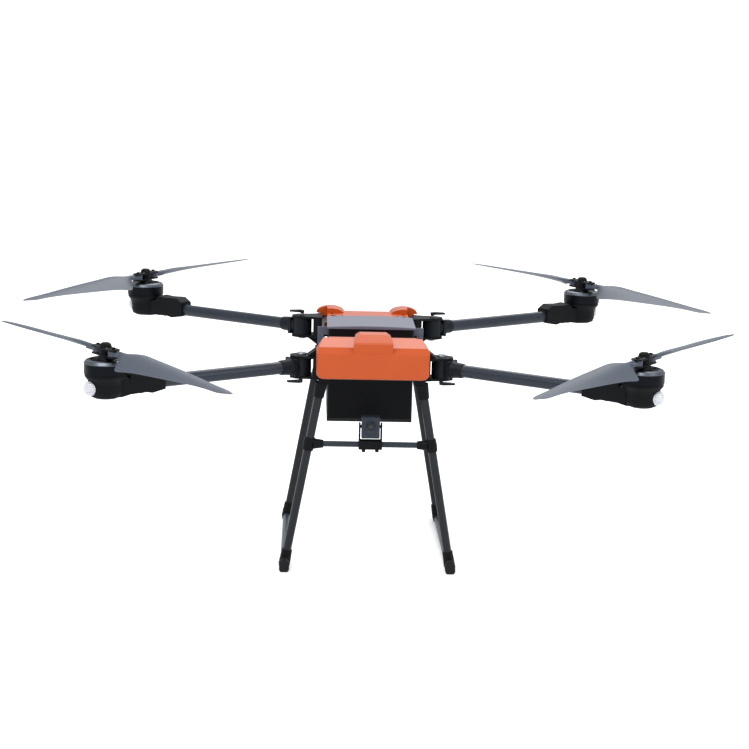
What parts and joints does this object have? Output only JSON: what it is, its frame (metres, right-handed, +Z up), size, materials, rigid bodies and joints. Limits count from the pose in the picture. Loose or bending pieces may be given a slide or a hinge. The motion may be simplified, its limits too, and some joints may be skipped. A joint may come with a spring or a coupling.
{
  "type": "agricultural spray drone",
  "caption": "Folding-arm quadcopter sprayer with a lift-out tank between two covers, a slide-in battery and a splayed landing gear.",
  "frame": {"origin": "on the ground under the middle of the frame", "axes": "+Z up, the nose points to -Y, +X across the frame"},
  "size_m": [1.8004, 1.8106, 0.6305],
  "materials": {
    "orange_cover": "painted shell",
    "black_plastic": "moulded",
    "grey_lid": "moulded",
    "carbon": "satin carbon",
    "anodised": "anodised",
    "black_moulding": "glass-filled nylon",
    "rubber": "matt",
    "slate_plastic": "moulded",
    "lamp_lens": "diffusing lens",
    "motor_black": "anodised",
    "blade_composite": "carbon-nylon composite"
  },
  "bodies": {
    "frame": {"arm_brackets": "black_moulding", "battery_tray": "anodised", "camera_bracket": "black_moulding", "crossbar": "carbon", "crossbar_clamps": "black_moulding", "flight_controller": "black_plastic", "frame_plates": "carbon", "front_cover": "orange_cover", "hinge_pins": "anodised", "leg_sockets": "black_moulding", "leg_tubes": "carbon", "rear_cover": "orange_cover", "side_rails": "anodised", "skid_feet": "rubber", "skid_tees": "black_moulding", "skid_tubes": "carbon", "spray_pump": "black_plastic"},
    "arm_fl": {"arm_joint_fl": "black_moulding", "arm_tube_fl": "carbon", "motor_mount_fl": "black_moulding", "lamp_fl": "lamp_lens"},
    "rotor_fl": {"motor_bell_fl": "motor_black", "prop_hub_fl": "black_moulding"},
    "blade_fl_a": {"blade_fl_a": "blade_composite"},
    "blade_fl_b": {"blade_fl_b": "blade_composite"},
    "lever_fl": {"fold_lever_fl": "black_moulding"},
    "arm_fr": {"arm_joint_fr": "black_moulding", "arm_tube_fr": "carbon", "motor_mount_fr": "black_moulding", "lamp_fr": "lamp_lens"},
    "rotor_fr": {"motor_bell_fr": "motor_black", "prop_hub_fr": "black_moulding"},
    "blade_fr_a": {"blade_fr_a": "blade_composite"},
    "blade_fr_b": {"blade_fr_b": "blade_composite"},
    "lever_fr": {"fold_lever_fr": "black_moulding"},
    "arm_rl": {"arm_joint_rl": "black_moulding", "arm_tube_rl": "carbon", "motor_mount_rl": "black_moulding", "lamp_rl": "lamp_lens"},
    "rotor_rl": {"motor_bell_rl": "motor_black", "prop_hub_rl": "black_moulding"},
    "blade_rl_a": {"blade_rl_a": "blade_composite"},
    "blade_rl_b": {"blade_rl_b": "blade_composite"},
    "lever_rl": {"fold_lever_rl": "black_moulding"},
    "arm_rr": {"arm_joint_rr": "black_moulding", "arm_tube_rr": "carbon", "motor_mount_rr": "black_moulding", "lamp_rr": "lamp_lens"},
    "rotor_rr": {"motor_bell_rr": "motor_black", "prop_hub_rr": "black_moulding"},
    "blade_rr_a": {"blade_rr_a": "blade_composite"},
    "blade_rr_b": {"blade_rr_b": "blade_composite"},
    "lever_rr": {"fold_lever_rr": "black_moulding"},
    "tank": {"tank": "black_plastic", "tank_flanges": "grey_lid", "lid_hinges": "black_moulding"},
    "lid": {"tank_lid": "grey_lid"},
    "battery": {"battery": "black_plastic"},
    "camera": {"camera": "slate_plastic"}
  },
  "joints": [
    {"name": "arm_fold_fl", "type": "hinge", "parent": "frame", "child": "arm_fl", "pos_m": [-0.168, -0.1908, 0.4975], "axis": [0, 0, -1], "range_deg": [0, 95]},
    {"name": "prop_spin_fl", "type": "hinge", "parent": "arm_fl", "child": "rotor_fl", "pos_m": [-0.6, -0.48, 0.5575], "axis": [0, 0, 1], "continuous": true},
    {"name": "blade_fold_fl_a", "type": "hinge", "parent": "rotor_fl", "child": "blade_fl_a", "pos_m": [-0.58002, -0.50751, 0.5778], "axis": [0, 0, 1], "range_deg": [-85, 85]},
    {"name": "blade_fold_fl_b", "type": "hinge", "parent": "rotor_fl", "child": "blade_fl_b", "pos_m": [-0.61998, -0.45249, 0.5778], "axis": [0, 0, 1], "range_deg": [-85, 85]},
    {"name": "lever_swing_fl", "type": "hinge", "parent": "frame", "child": "lever_fl", "pos_m": [-0.168, -0.1908, 0.4621], "axis": [0, -1, 0], "range_deg": [0, 90]},
    {"name": "arm_fold_fr", "type": "hinge", "parent": "frame", "child": "arm_fr", "pos_m": [0.168, -0.1908, 0.4975], "axis": [0, 0, 1], "range_deg": [0, 95]},
    {"name": "prop_spin_fr", "type": "hinge", "parent": "arm_fr", "child": "rotor_fr", "pos_m": [0.6, -0.48, 0.5575], "axis": [0, 0, -1], "continuous": true},
    {"name": "blade_fold_fr_a", "type": "hinge", "parent": "rotor_fr", "child": "blade_fr_a", "pos_m": [0.58002, -0.50751, 0.5778], "axis": [0, 0, -1], "range_deg": [-85, 85]},
    {"name": "blade_fold_fr_b", "type": "hinge", "parent": "rotor_fr", "child": "blade_fr_b", "pos_m": [0.61998, -0.45249, 0.5778], "axis": [0, 0, -1], "range_deg": [-85, 85]},
    {"name": "lever_swing_fr", "type": "hinge", "parent": "frame", "child": "lever_fr", "pos_m": [0.168, -0.1908, 0.4621], "axis": [0, 1, 0], "range_deg": [0, 90]},
    {"name": "arm_fold_rl", "type": "hinge", "parent": "frame", "child": "arm_rl", "pos_m": [-0.168, 0.1908, 0.5305], "axis": [0, 0, 1], "range_deg": [0, 95]},
    {"name": "prop_spin_rl", "type": "hinge", "parent": "arm_rl", "child": "rotor_rl", "pos_m": [-0.6, 0.48, 0.5905], "axis": [0, 0, -1], "continuous": true},
    {"name": "blade_fold_rl_a", "type": "hinge", "parent": "rotor_rl", "child": "blade_rl_a", "pos_m": [-0.61776, 0.45101, 0.6108], "axis": [0, 0, -1], "range_deg": [-85, 85]},
    {"name": "blade_fold_rl_b", "type": "hinge", "parent": "rotor_rl", "child": "blade_rl_b", "pos_m": [-0.58224, 0.50899, 0.6108], "axis": [0, 0, -1], "range_deg": [-85, 85]},
    {"name": "lever_swing_rl", "type": "hinge", "parent": "frame", "child": "lever_rl", "pos_m": [-0.168, 0.1908, 0.5659], "axis": [0, 1, 0], "range_deg": [0, 90]},
    {"name": "arm_fold_rr", "type": "hinge", "parent": "frame", "child": "arm_rr", "pos_m": [0.168, 0.1908, 0.5305], "axis": [0, 0, -1], "range_deg": [0, 95]},
    {"name": "prop_spin_rr", "type": "hinge", "parent": "arm_rr", "child": "rotor_rr", "pos_m": [0.6, 0.48, 0.5905], "axis": [0, 0, 1], "continuous": true},
    {"name": "blade_fold_rr_a", "type": "hinge", "parent": "rotor_rr", "child": "blade_rr_a", "pos_m": [0.61776, 0.45101, 0.6108], "axis": [0, 0, 1], "range_deg": [-85, 85]},
    {"name": "blade_fold_rr_b", "type": "hinge", "parent": "rotor_rr", "child": "blade_rr_b", "pos_m": [0.58224, 0.50899, 0.6108], "axis": [0, 0, 1], "range_deg": [-85, 85]},
    {"name": "lever_swing_rr", "type": "hinge", "parent": "frame", "child": "lever_rr", "pos_m": [0.168, 0.1908, 0.5659], "axis": [0, -1, 0], "range_deg": [0, 90]},
    {"name": "tank_lift", "type": "slide", "parent": "frame", "child": "tank", "axis": [0, 0, 1], "range_m": [0, 0.24]},
    {"name": "lid_hinge", "type": "hinge", "parent": "tank", "child": "lid", "pos_m": [0, 0.028, 0.58], "axis": [-1, 0, 0], "range_deg": [0, 100]},
    {"name": "battery_slide", "type": "slide", "parent": "frame", "child": "battery", "axis": [0, 1, 0], "range_m": [0, 0.16]},
    {"name": "camera_tilt", "type": "hinge", "parent": "frame", "child": "camera", "pos_m": [0, -0.23342, 0.361], "axis": [1, 0, 0], "range_deg": [-25, 20]}
  ]
}
